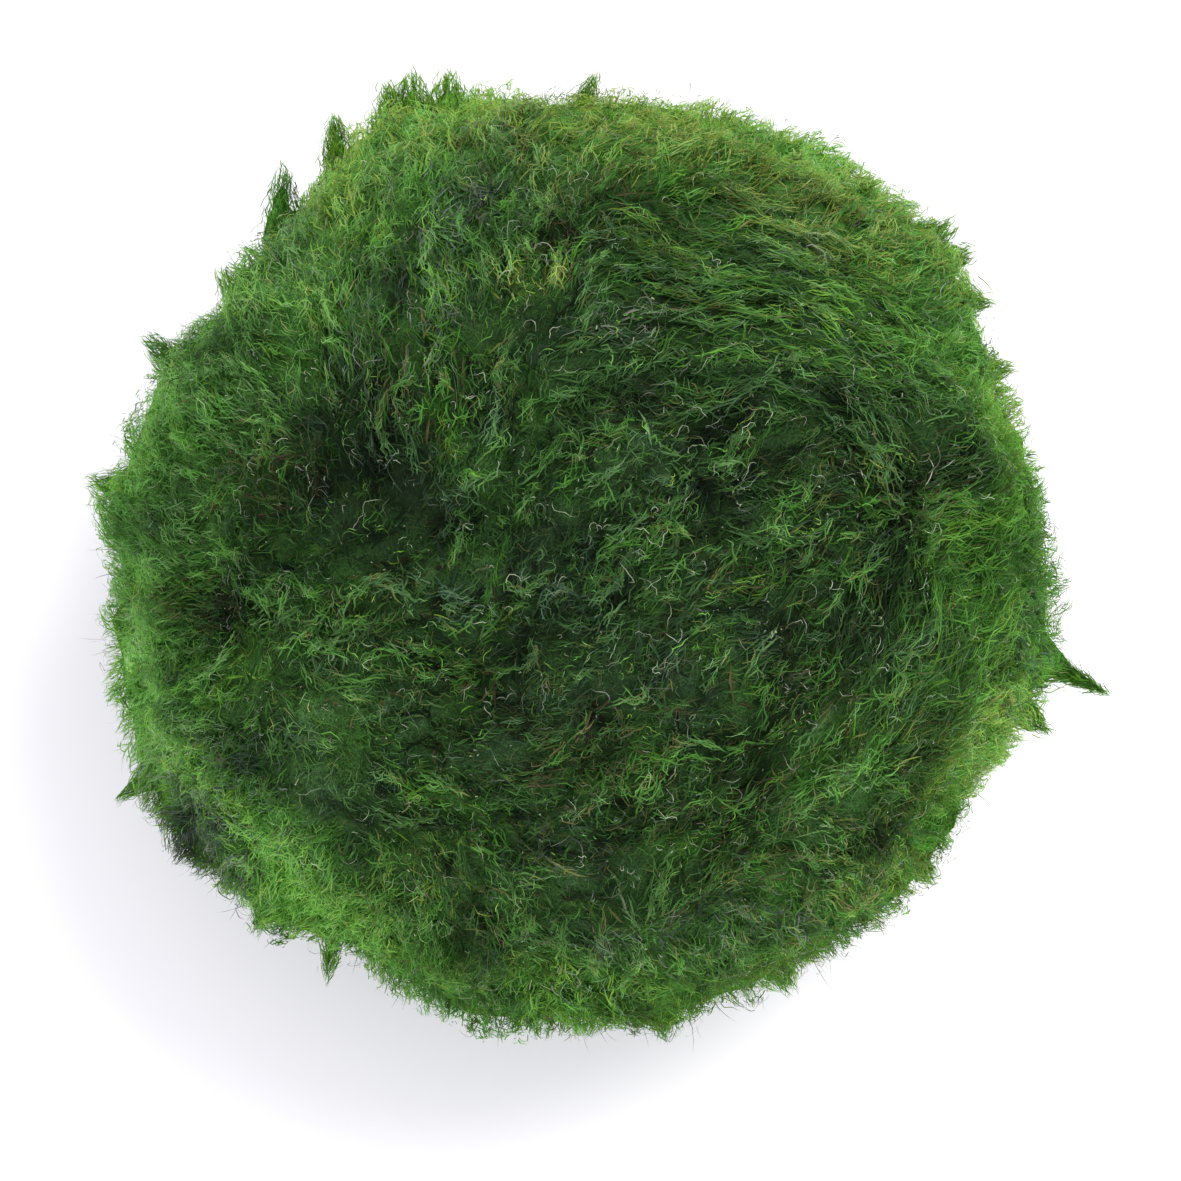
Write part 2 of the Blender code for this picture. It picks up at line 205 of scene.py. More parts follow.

# Marks of the coat, as soft strokes: where the middle is, half the length and half the width in
# pixels, which way it runs, the hue it is drawn to, how strongly, and how much lighter or darker it is.
# The last column is partly the moss's own colour and partly painted light and shade: painted light on the lit
# outline, painted shade in hollows and on the lower-left ledge.
MARKS = (
    (390, 200, 110, 60, 40, 0.5, 0, 0.11), (290, 300, 50, 40, 60, 0.5, 0, 0.09),
    (290, 700, 60, 130, 0, 0.5, 0, 0.07), (450, 850, 90, 50, 0, 0.5, 0, 0.07),
    (560, 800, 120, 50, 0, 0.5, 0, 0.03), (122, 450, 70, 24, 70, 0.51, 0.7, 0.25),
    (115, 630, 110, 20, 95, 0.51, 0.7, 0.2), (165, 560, 40, 24, 70, 0.51, 0.5, 0.22),
    (150, 730, 60, 22, 120, 0.51, 0.6, 0.26), (300, 890, 140, 24, 316, 0.43, 0.8, 0.22),
    (570, 985, 110, 20, 0, 0.42, 0.6, 0.06), (985, 620, 120, 30, 82, 0.48, 0.8, 0.05),
    (1004, 660, 60, 16, 85, 0.44, 0.7, 0.04), (1018, 440, 90, 20, 118, 0.44, 0.6, 0.03),
    (960, 280, 60, 24, 120, 0.38, 0.5, 0.17), (790, 180, 170, 40, 328, 0.25, 0.5, 0.1),
    (600, 112, 150, 28, 355, 0.26, 0.7, 0.06), (300, 220, 110, 40, 55, 0.38, 0.6, 0.22),
    (250, 270, 60, 40, 60, 0.46, 0.4, 0.14), (160, 390, 40, 60, 90, 0.5, 0.4, 0.14),
    (290, 860, 60, 40, 316, 0.46, 0.5, 0.14), (1000, 735, 60, 26, 60, 0.36, 0.5, 0.21),
    (430, 120, 90, 30, 10, 0.32, 0.5, 0.1), (330, 150, 90, 50, 40, 0.34, 0.35, 0),
    (530, 135, 60, 26, 0, 0.36, 0.3, 0.06), (470, 260, 130, 60, 0, 0.5, 0, 0.05),
    (950, 800, 110, 80, 45, 0.3, 0.25, -0.05), (435, 245, 44, 22, 80, 0.46, 0.6, 0.12),
    (195, 380, 44, 26, 60, 0.52, 0.4, 0.12), (275, 400, 34, 12, 60, 0.48, 0.5, 0.12),
    (532, 268, 26, 11, 5, 0.28, 0.9, 0.3), (640, 425, 30, 8, 330, 0.46, 0.6, 0.16),
    (335, 735, 32, 8, 300, 0.44, 0.6, 0.22), (240, 660, 46, 18, 60, 0.46, 0.6, 0.14),
    (880, 452, 32, 9, 110, 0.66, 0.4, 0.16), (775, 560, 60, 12, 60, 0.5, 0.4, 0.12),
    (684, 530, 42, 9, 75, 0.66, 0.5, 0.12), (735, 655, 24, 9, 100, 0.5, 0.5, 0.14),
    (872, 690, 60, 13, 75, 0.46, 0.5, 0.14), (835, 785, 36, 20, 20, 0.62, 0.4, 0.12),
    (500, 480, 50, 30, 60, 0.52, 0.4, 0.06), (440, 425, 28, 9, 300, 0.46, 0.4, 0.14),
    (505, 625, 24, 8, 30, 0.4, 0.6, 0.16), (880, 890, 70, 14, 12, 0.28, 0.5, 0.1),
    (760, 985, 60, 12, 25, 0.26, 0.4, 0.02), (840, 330, 80, 40, 350, 0.44, 0.4, 0.06),
    (640, 230, 60, 16, 345, 0.34, 0.4, 0.06), (280, 830, 30, 40, 60, 0.46, 0.4, 0.08),
    (310, 405, 28, 26, 0, 0.6, 0.5, -0.2), (362, 466, 44, 30, 0, 0.68, 0.5, -0.17),
    (270, 480, 44, 34, 60, 0.1, 0.3, -0.2), (330, 560, 50, 26, 0, 0.66, 0.4, -0.15),
    (430, 515, 44, 20, 350, 0.68, 0.4, -0.22), (395, 275, 38, 9, 92, 0.76, 0.5, -0.22),
    (465, 190, 48, 15, 55, 0.82, 0.45, -0.16), (400, 340, 64, 40, 80, 0.8, 0.35, -0.07),
    (550, 160, 54, 15, 350, 0.2, 0.4, -0.1), (650, 195, 40, 8, 340, 0.14, 0.4, -0.18),
    (560, 222, 20, 13, 60, 0.1, 0.5, -0.18), (608, 218, 14, 14, 0, 0.1, 0.4, -0.14),
    (532, 315, 38, 20, 350, 0.6, 0.5, -0.18), (720, 300, 64, 8, 352, 0.3, 0.3, -0.18),
    (628, 320, 22, 18, 0, 0.9, 0.35, -0.14), (708, 465, 44, 16, 85, 0.6, 0.3, -0.24),
    (735, 500, 40, 14, 0, 0.62, 0.3, -0.2), (800, 465, 40, 18, 345, 0.12, 0.3, -0.16),
    (700, 395, 90, 12, 355, 0.6, 0.2, -0.14), (660, 510, 60, 40, 40, 0.6, 0.1, -0.05),
    (560, 430, 40, 20, 60, 0.64, 0.3, -0.14), (920, 480, 60, 28, 100, 0.62, 0.3, -0.2),
    (915, 550, 60, 26, 70, 0.62, 0.3, -0.22), (984, 465, 24, 16, 80, 0.62, 0.3, -0.2),
    (865, 630, 80, 18, 62, 0.6, 0.3, -0.18), (200, 612, 40, 22, 350, 0.12, 0.2, -0.4),
    (140, 528, 34, 12, 40, 0.6, 0.3, -0.16), (150, 680, 30, 14, 30, 0.6, 0.3, -0.12),
    (480, 690, 36, 22, 60, 0.12, 0.3, -0.24), (525, 640, 34, 22, 0, 0.64, 0.3, -0.16),
    (575, 750, 60, 18, 30, 0.08, 0.35, -0.11), (605, 860, 30, 44, 0, 0.9, 0.25, -0.2),
    (482, 930, 50, 14, 95, 0.16, 0.2, -0.28), (350, 840, 44, 20, 65, 0.66, 0.4, -0.18),
    (260, 765, 24, 34, 0, 0.8, 0.4, -0.26), (190, 832, 56, 20, 312, 0.8, 0.8, -0.34),
    (735, 840, 50, 18, 60, 0.6, 0.3, -0.16), (915, 835, 50, 16, 25, 0.3, 0.3, -0.26),
    (760, 745, 50, 20, 50, 0.62, 0.3, -0.16), (690, 920, 70, 24, 0, 0.84, 0.4, 0),
    (790, 915, 34, 16, 10, 0.84, 0.4, 0.03), (540, 850, 50, 30, 0, 0.8, 0.4, -0.08),
    (660, 1035, 40, 10, 0, 0.6, 0.3, -0.3), (1064, 540, 180, 24, 95, 0.46, 0.3, -0.11),
    (400, 1000, 120, 24, 335, 0.5, 0.4, -0.18), (740, 1015, 120, 24, 15, 0.4, 0.4, -0.19),
    (930, 300, 36, 12, 350, 0.6, 0.3, -0.18), (205, 340, 30, 18, 20, 0.6, 0.5, -0.26),
    (284, 225, 40, 12, 80, 0.66, 0.6, -0.2), (1052, 662, 22, 14, 340, 0.7, 0.6, -0.26),
    (1024, 560, 40, 12, 60, 0.5, 0.3, -0.14), (1024, 725, 30, 12, 60, 0.3, 0.4, -0.1),
    (800, 690, 60, 16, 50, 0.62, 0.3, -0.1), (420, 880, 40, 30, 30, 0.3, 0.3, -0.06),
    (655, 616, 60, 50, 0, 0.6, 0, -0.04), (600, 760, 130, 70, 0, 0.12, 0.15, 0),
    (780, 740, 90, 70, 0, 0.14, 0.2, 0), (600, 865, 110, 50, 0, 0.14, 0.16, 0.07),
    (790, 880, 80, 50, 0, 0.16, 0.2, 0), (915, 490, 50, 40, 0, 0.14, 0.2, 0),
    (404, 376, 60, 50, 0, 0.14, 0.14, 0), (404, 616, 60, 60, 0, 0.14, 0.12, -0.02),
    (780, 600, 70, 60, 0, 0.14, 0.1, 0),
)

# Tufts that stand out of the outline. Turn (anticlockwise round the outline from the right) and out (degrees
# from the middle of the view) of the tip, its distance from the middle of the ball, heading, length, width,
# hue, tone, and how the sides run to the tip: 1 is a straight cone, less is a rounder brush.
TUFTS = (
    (346, 92, 0.0281, 332, 0.0066, 0.0046, 0.46, 0.6, 1.3),
    (340, 92, 0.0261, 320, 0.0046, 0.004, 0.46, 0.62, 0.7),
    (335, 97, 0.0248, 318, 0.0044, 0.0036, 0.46, 0.62, 0.6),
    (127, 91, 0.0257, 85, 0.0046, 0.0021, 0.5, 0.62, 0.45),
    (119, 88, 0.0264, 96, 0.0044, 0.0026, 0.42, 0.66, 0.55),
    (112, 88, 0.0267, 96, 0.0046, 0.0032, 0.4, 0.72, 0.5),
    (109, 88, 0.0268, 90, 0.0046, 0.0032, 0.42, 0.74, 0.5),
    (105, 88, 0.0263, 88, 0.0044, 0.0038, 0.42, 0.76, 0.5),
    (88, 87, 0.0253, 66, 0.0036, 0.0022, 0.4, 0.68, 0.7),
    (141, 88, 0.024, 122, 0.004, 0.003, 0.44, 0.72, 0.5),
    (153, 88, 0.0253, 142, 0.0042, 0.0032, 0.5, 0.66, 0.5),
    (171, 88, 0.0259, 166, 0.0036, 0.003, 0.48, 0.72, 0.5),
    (207.5, 96, 0.0273, 214, 0.0052, 0.003, 0.46, 0.64, 0.75),
    # The lower-left ledge's tufts: their own bluer hue, and a darker tone that is painted shade.
    (212, 101, 0.0266, 226, 0.005, 0.0038, 0.7, 0.44, 0.6),
    (219, 101, 0.0266, 240, 0.005, 0.0038, 0.72, 0.44, 0.6),
    (223, 97, 0.0257, 258, 0.0042, 0.0034, 0.62, 0.5, 0.6),
    (229, 92, 0.0258, 246, 0.0042, 0.0032, 0.46, 0.64, 0.7),
    (239, 90, 0.0257, 262, 0.0038, 0.0016, 0.44, 0.68, 0.7),
    (280, 98, 0.0257, 266, 0.0046, 0.0038, 0.56, 0.52, 0.6),
    (296, 92, 0.0251, 300, 0.004, 0.0034, 0.46, 0.64, 0.6),
    (318, 90, 0.0251, 316, 0.004, 0.0034, 0.44, 0.66, 0.6),
    (52, 87, 0.025, 22, 0.0046, 0.0034, 0.38, 0.7, 0.6),
    (42, 87, 0.0261, 34, 0.0048, 0.0038, 0.44, 0.68, 0.6),
    (38, 87, 0.0259, 12, 0.0046, 0.0036, 0.44, 0.68, 0.6),
    (32, 88, 0.0253, 356, 0.0044, 0.0034, 0.44, 0.7, 0.6),
    (24, 88, 0.0247, 6, 0.0042, 0.0032, 0.4, 0.7, 0.6),
)
# The strands of a tuft: where they end, as shares of its length, how far from its middle they lie, squared,
# how blunt its tip is, and how much they are shaded as parts of the ball. Its light is painted light against
# the tuft's own shade, and its strands are painted darker towards their roots. And its matted core, painted
# darker than its tuft as shade inside it.
TUFT = Values(
    strands=540, strand_length=0.0011, strand_lengths=(0.5, 1.4), strand_width=0.00006,
    strand_widths=(0.6, 1.1), narrowing=0.55, flatness=0.7, ends=(0.35, 1.15), fray=0.12,
    filling=(0.2, 1.12), bluntness=0.16, lean=0.28, crimp=0.36, fanning=0.12, hues=0.05, light=0.15,
    tones=0.1, root_tone=0.7, tip_light=0.3, twist=0.8, facing=0.8,
)
CORE = Values(share=0.79, sides=12, rings=8, unevenness=(0.8, 1.1), tone=0.88)

# The filaments' colours, from brown over olive, yellow-green, vivid greens, green and dark green to
# blue-green, grey and straw: where on the hue scale, the colour in its darkest tone and in its lightest.
PALETTE = (
    (0.0, (0.014, 0.011, 0.007), (0.2, 0.155, 0.09)),
    (0.16, (0.011, 0.013, 0.005), (0.34, 0.38, 0.11)),
    (0.32, (0.009, 0.017, 0.004), (0.42, 0.62, 0.08)),
    (0.44, (0.006, 0.016, 0.003), (0.21, 0.6, 0.045)),
    (0.5, (0.006, 0.015, 0.004), (0.15, 0.53, 0.062)),
    (0.56, (0.006, 0.014, 0.005), (0.165, 0.47, 0.08)),
    (0.66, (0.007, 0.012, 0.006), (0.15, 0.36, 0.115)),
    (0.76, (0.006, 0.011, 0.008), (0.11, 0.25, 0.13)),
    (0.87, (0.014, 0.019, 0.017), (0.3, 0.36, 0.31)),
    (1.0, (0.15, 0.16, 0.1), (0.68, 0.74, 0.56)),
)
TONE_CURVE = 1.6  # how late the light colours come in
PALE = (0.46, 0.56, 0.3)
PALENESS = 0.32
PALE_CURVE = 5  # how late the paleness comes in
THROUGH_TINT = (1.2, 1.15, 0.7, 1)  # light that shines through the filaments is yellower
THROUGH_SHARE = 0.5
DARK_ROUGHNESS = 0.8
LIGHT_ROUGHNESS = 0.5

SKY_COLOR = (0.965, 0.955, 1.0, 1)
SKY_STRENGTH = 1.5


def unit(vectors):
    return vectors / np.maximum(np.linalg.norm(vectors, axis=-1, keepdims=True), 1e-12)


def dot(a, b):
    return (a * b).sum(-1, keepdims=True)


def laid(ways, at):
    """These ways, laid flat on the ball at these spots."""
    return unit(ways - dot(ways, at) * at)


def varied_by(rng, count):
    """A function that gives random values, mostly as large as its argument."""
    return lambda size: rng.normal(size=count) * size


def swell(share, least, more, start, sweep):
    """A value that rises and falls along a strand, as part of a wave."""
    return least + more * np.sin(start + sweep * share)


def seen(turn, out):
    """Directions from the middle of the ball, by the two angles of a tuft."""
    around, away = np.radians(turn), np.radians(out)
    return (
        np.multiply.outer(np.cos(around) * np.sin(away), RIGHT)
        + np.multiply.outer(np.sin(around) * np.sin(away), UP)
        + np.multiply.outer(np.cos(away), TOWARD)
    )


def at_pixel(x, y):
    """The near half's spots that are seen at these pixels."""
    flat = np.stack([x - BALL_PIXEL[0], BALL_PIXEL[1] - y], -1) * PIXEL / OUTLINE_REACH
    flat = flat / np.maximum(np.linalg.norm(flat, axis=-1, keepdims=True), 1)
    height = np.sqrt(np.maximum(1 - (flat**2).sum(-1), 0))
    return flat[..., :1] * RIGHT + flat[..., 1:] * UP + height[..., None] * TOWARD


def waves(spots, size, seed, count=28):
    """A smooth random field over the ball, with swellings of this size: mostly between -1 and 1."""
    rng = np.random.default_rng(seed)
    ways = unit(rng.normal(size=(count, 3))) * rng.uniform(0.6, 1.4, (count, 1))
    phases = rng.uniform(0, 2 * pi, count)
    swing = spots @ ways.T * (2 * pi * MEAN_RADIUS / size) + phases
    return np.cos(swing).sum(-1) * sqrt(1 / count)


class Shape:
    """How far the solid reaches from its middle in each direction, as a slightly blurred grid."""

    ROWS = 181
    COLUMNS = 360
    BLURS = 2

    def __init__(self, solid):
        tree = BVHTree.FromObject(solid, bpy.context.evaluated_depsgraph_get())
        middle = Vector(MIDDLE)
        reach = np.empty((self.ROWS, self.COLUMNS))
        for row, tilt in enumerate(np.linspace(0, pi, self.ROWS)):
            for column, turn in enumerate(np.radians(np.arange(self.COLUMNS))):
                way = Vector((sin(tilt) * cos(turn), sin(tilt) * sin(turn), cos(tilt)))
                hit = tree.ray_cast(middle + way * WELL_OUTSIDE, -way)[0]
                reach[row, column] = (hit - middle).length
        for _ in range(self.BLURS):
            reach = (2 * reach + sum(self.beside(reach))) / 6
        self.reach = np.hstack([reach, reach[:, :1]])

    @staticmethod
    def beside(reach):
        """The grid moved by one step each way."""
        up, down = np.vstack([reach[:1], reach[:-1]]), np.vstack([reach[1:], reach[-1:]])
        return np.roll(reach, 1, 1), np.roll(reach, -1, 1), up, down

    def __call__(self, spots):
        row = np.arccos(np.clip(spots[..., 2], -1, 1)) / pi * (self.ROWS - 1)
        turn = np.arctan2(spots[..., 1], spots[..., 0]) % (2 * pi)
        column = turn / (2 * pi) * self.COLUMNS
        r0 = np.clip(row.astype(int), 0, self.ROWS - 2)
        c0 = np.clip(column.astype(int), 0, self.COLUMNS - 1)
        fr, fc = row - r0, column - c0
        top = self.reach[r0, c0] * (1 - fc) + self.reach[r0, c0 + 1] * fc
        low = self.reach[r0 + 1, c0] * (1 - fc) + self.reach[r0 + 1, c0 + 1] * fc
        return top * (1 - fr) + low * fr


def placed(shape, spots, heights):
    """Points at these heights over the solid's surface."""
    return MIDDLE + spots * (shape(spots) + heights)[..., None]


def paths(shape, at, flow, along, aside, heights):
    """Paths over the ball, by how far their points lie along and aside from these spots, and how high."""
    side = np.cross(at, flow)
    steps = flow[:, None] * along[..., None] + side[:, None] * aside[..., None]
    return placed(shape, unit(at[:, None] + steps / MEAN_RADIUS), heights)


def combed(spots):
    """Which way the filaments point at these spots and how tangled they are: the listed combing near by,
    with stray swirls."""
    table = np.array(COMBING, float)
    places = at_pixel(table[:, 0], table[:, 1])
    ways = seen(table[:, 2], 90)
    apart = 1 - spots @ places.T
    weights = 1 / (apart + COMB.blur) ** 2
    flow = unit(weights @ ways)
    tangle = weights @ table[:, 3] / weights.sum(-1)
    swirl, finer = (
        np.stack([waves(spots, size, seed + k) for k in range(3)], -1)
        for size, seed in ((COMB.swirl_size, 50), (COMB.fine_size, 60))
    )
    near = dot(spots, TOWARD)
    far = np.clip(-near, 0, 1)
    flow = flow * (1 - COMB.far_loss * far) + swirl * (COMB.swirl[0] + COMB.swirl[1] * far)
    flow = flow + finer * (COMB.fine_swirl * tangle[:, None])
    # The listed ways lie in the view's plane: tip the near half's to lie along the ball.
    slope = np.clip(near, 0, 1)
    flow = flow - TOWARD * dot(flow, spots) * slope / (slope**2 + COMB.softness)
    flow = flow - TOWARD * COMB.droop * np.clip(COMB.droop_start - near, 0, 1)
    return unit(flow), tangle


def painted(spots, own_hue=False):
    """The hue and the tone of the moss at these spots. Some of the filaments in a mark have its hue, the
    others keep their own, or all of them do. The tone holds painted light towards the outline of the view,
    and the marks' painted light and shade."""
    choice = np.random.default_rng(SEED).random(len(spots))
    near = spots @ TOWARD
    rim = np.clip(1 - np.where(near < 0, -0.5 * near, near), 0, 1)
    away = np.clip(-near * 3, 0, 1)
    hue = COAT.hue - COAT.rim_hue * rim**1.5
    for size, strength, seed in COAT.hue_patches:
        hue = hue + strength * waves(spots, size, seed)
    size, strength, seed = COAT.broad_patches
    # Painted light: the coat is lighter towards the outline of the view, and less so on its far half.
    tone = COAT.tone + COAT.rim_tone * rim + COAT.outline_tone * rim**3 * (1 - COAT.far_loss * away)
    tone = tone + (strength + COAT.far_patches * away) * waves(spots, size, seed)
    for size, strength, seed in COAT.tone_patches:
        tone = tone + strength * waves(spots, size, seed)
    right = spots @ RIGHT * (MEAN_RADIUS / PIXEL) + MARK.wander * waves(spots, MARK.wander_size, 24)
    up = spots @ UP * (MEAN_RADIUS / PIXEL) + MARK.wander * waves(spots, MARK.wander_size, 25)
    for x, y, length, width, heading, mark_hue, pull, lift in MARKS:
        across_x, across_y = x - BALL_PIXEL[0], BALL_PIXEL[1] - y
        for turned, side, strength in ((0, near, 1), (MARK.far_turn, -near, MARK.far_strength)):
            turn = radians(turned)
            middle_x = across_x * cos(turn) - across_y * sin(turn)
            middle_y = across_x * sin(turn) + across_y * cos(turn)
            way = radians(heading + turned)
            along = (right - middle_x) * cos(way) + (up - middle_y) * sin(way)
            aside = (up - middle_y) * cos(way) - (right - middle_x) * sin(way)
            share = np.exp(-0.5 * ((along / length) ** 2 + (aside / width) ** 2))
            share = share * np.clip(side * MARK.fade + MARK.rim_share, 0, 1) * strength
            if not own_hue:
                hue = np.where(choice < share * pull * MARK.pull, mark_hue, hue)
            # Painted light and shade, partly the moss's own tone: a mark lightens or darkens the coat.
            tone = tone + MARK.strength * lift * share
    return hue, tone


def contrast(spots):
    """How much neighbouring strands differ: much in the middle of the near half, little on the outline."""
    near = np.abs(spots @ TOWARD)
    return RIM_CONTRAST + (1 - RIM_CONTRAST) * np.clip(near * 1.25, 0, 1) ** 2


def linked(name, mesh):
    made = bpy.data.objects.new(name, mesh)
    bpy.context.scene.collection.objects.link(made)
    return made


def strand_mesh(name, spines, widths, twist, hues, tones, strip=STRIP, facing=None):
    """One piece of many ribbons. Each spine is a row of points, root first. The map holds each strand's hue
    across, in a strip of this half width, and its tone along, which is all that its colour depends on. The
    ribbons are shaded softly, as parts of the surface that they lie in."""
    count, nodes, _ = spines.shape
    twist = np.clip(twist, -MOST_TWIST, MOST_TWIST)
    run = unit(np.gradient(spines, axis=1))
    outward = unit(spines - MIDDLE)
    across = unit(np.cross(run, outward))
    lifted = np.cross(across, run)
    turn = twist[:, None, None]
    half = (across * np.cos(turn) + lifted * np.sin(turn)) * widths[..., None] / 2
    own = lifted * np.cos(turn) - across * np.sin(turn)
    normals = unit((outward if facing is None else facing) + OWN_SHADING * own)
    normals = np.concatenate([normals[:, :-1].repeat(2, 1), normals[:, -1:]], 1)
    pairs = np.stack([spines - half, spines + half], 2)[:, :-1].reshape(count, -1, 3)
    corners = np.concatenate([pairs, spines[:, -1:]], 1)
    corners[..., 2] = np.maximum(corners[..., 2], FLOOR_GAP)
    per_strand = corners.shape[1]
    quads = [(2 * j, 2 * j + 1, 2 * j + 3, 2 * j + 2) for j in range(nodes - 2)]
    tip = (per_strand - 3, per_strand - 2, per_strand - 1)
    pattern = np.concatenate([*quads, tip])
    sizes = np.tile([4] * (nodes - 2) + [3], count)
    mesh = bpy.data.meshes.new(name)
    mesh.vertices.add(count * per_strand)
    mesh.vertices.foreach_set("co", corners.astype(np.float32).ravel())
    mesh.loops.add(count * len(pattern))
    loops = np.arange(count)[:, None] * per_strand + pattern
    mesh.loops.foreach_set("vertex_index", loops.ravel().astype(np.int32))
    mesh.polygons.add(len(sizes))
    starts = np.concatenate([[0], np.cumsum(sizes)[:-1]])
    mesh.polygons.foreach_set("loop_start", starts.astype(np.int32))
    mesh.update(calc_edges=True)
    mesh.shade_smooth()
    mesh.normals_split_custom_set_from_vertices(normals.reshape(-1, 3))
    hue_pairs = np.stack([hues - strip, hues + strip], -1)[:, None].repeat(nodes - 1, 1)
    hue_at = np.concatenate([hue_pairs.reshape(count, -1), hues[:, None]], 1)
    tone_pairs = tones[:, :-1, None].repeat(2, 2).reshape(count, -1)
    tone_at = np.concatenate([tone_pairs, tones[:, -1:]], 1).clip(*TONE_RANGE)
    tone_at = tone_at + TONE_RUN * np.linspace(0, 1, tone_at.shape[1])
    uv = np.stack([hue_at[:, pattern], tone_at[:, pattern]], -1)
    layer = mesh.uv_layers.new(name="OFBake")
    layer.uv.foreach_set("vector", uv.astype(np.float32).ravel())
    return linked(name, mesh)


class Locks:
    """The loose locks that the coat is made of: their paths over the ball, and what the strands of one
    share."""

    def __init__(self, rng):
        vary = varied_by(rng, LOCKS)
        at = unit(rng.normal(size=(LOCKS, 3)))
        hidden = np.clip((-at[:, 2] - UNDERSIDE) / (1 - UNDERSIDE), 0, 1)
        self.weight = (1 + NEAR_DENSITY * np.tanh(at @ TOWARD * 2)) * (1 - UNDERSIDE_THINNING * hidden)
        tangle = combed(at)[1]
        long = LOCK.lengths[0] + LOCK.lengths[1] * tangle
        length = LOCK.length * np.clip(long + vary(LOCK.length_variety), *LOCK.length_range)
        self.radius = LOCK.radius * np.clip(1 + vary(LOCK.radius_variety), *LOCK.radius_range)
        high, low = LOCK.clump_heights
        clump = high * waves(at, LOCK.clump_size, 71) + low * waves(at, LOCK.clump_size / 2, 72)
        self.lift = np.clip(vary(LOCK.lift_variety) + clump + LOCK.lift, *LOCK.lift_range)
        self.rise = LOCK.rise[0] + vary(LOCK.rise_variety) + LOCK.rise[1] * tangle
        swing = vary(LOCK.swing[0] + LOCK.swing[1] * tangle)
        bend = vary(LOCK.bend[0] + LOCK.bend[1] * tangle)
        path = [at]
        for share in np.linspace(-0.5, 0.5, LOCK.nodes - 1):
            flow = laid(combed(at)[0], at)
            turn = (swing + bend * share * 2)[:, None]
            flow = flow * np.cos(turn) + np.cross(at, flow) * np.sin(turn)
            at = unit(at + flow * (length / (LOCK.nodes - 1) / MEAN_RADIUS)[:, None])
            path.append(at)
        self.path = np.stack(path, 1)
        self.hue = vary(LOCK.hues)
        # Painted light: a raised lock is lighter, a sunken one darker.
        tone = vary(LOCK.tones) + LOCK.lift_light * self.lift + LOCK.tone
        self.tone = np.clip(tone, *LOCK.tone_range)
        centres = unit(rng.normal(size=(BRUSHES, 3)))
        self.brushes = KDTree(BRUSHES)
        for number, centre in enumerate(centres):
            self.brushes.insert(centre, number)
        self.brushes.balance()

    def spot(self, own, share):
        """Where a share of the way along these locks is, and which way they run there."""
        place = share * (LOCK.nodes - 1)
        node = np.clip(place.astype(int), 0, LOCK.nodes - 2)
        rest = (place - node)[:, None]
        first, second = self.path[own, node], self.path[own, node + 1]
        at = unit(first * (1 - rest) + second * rest)
        return at, laid(second - first, at)


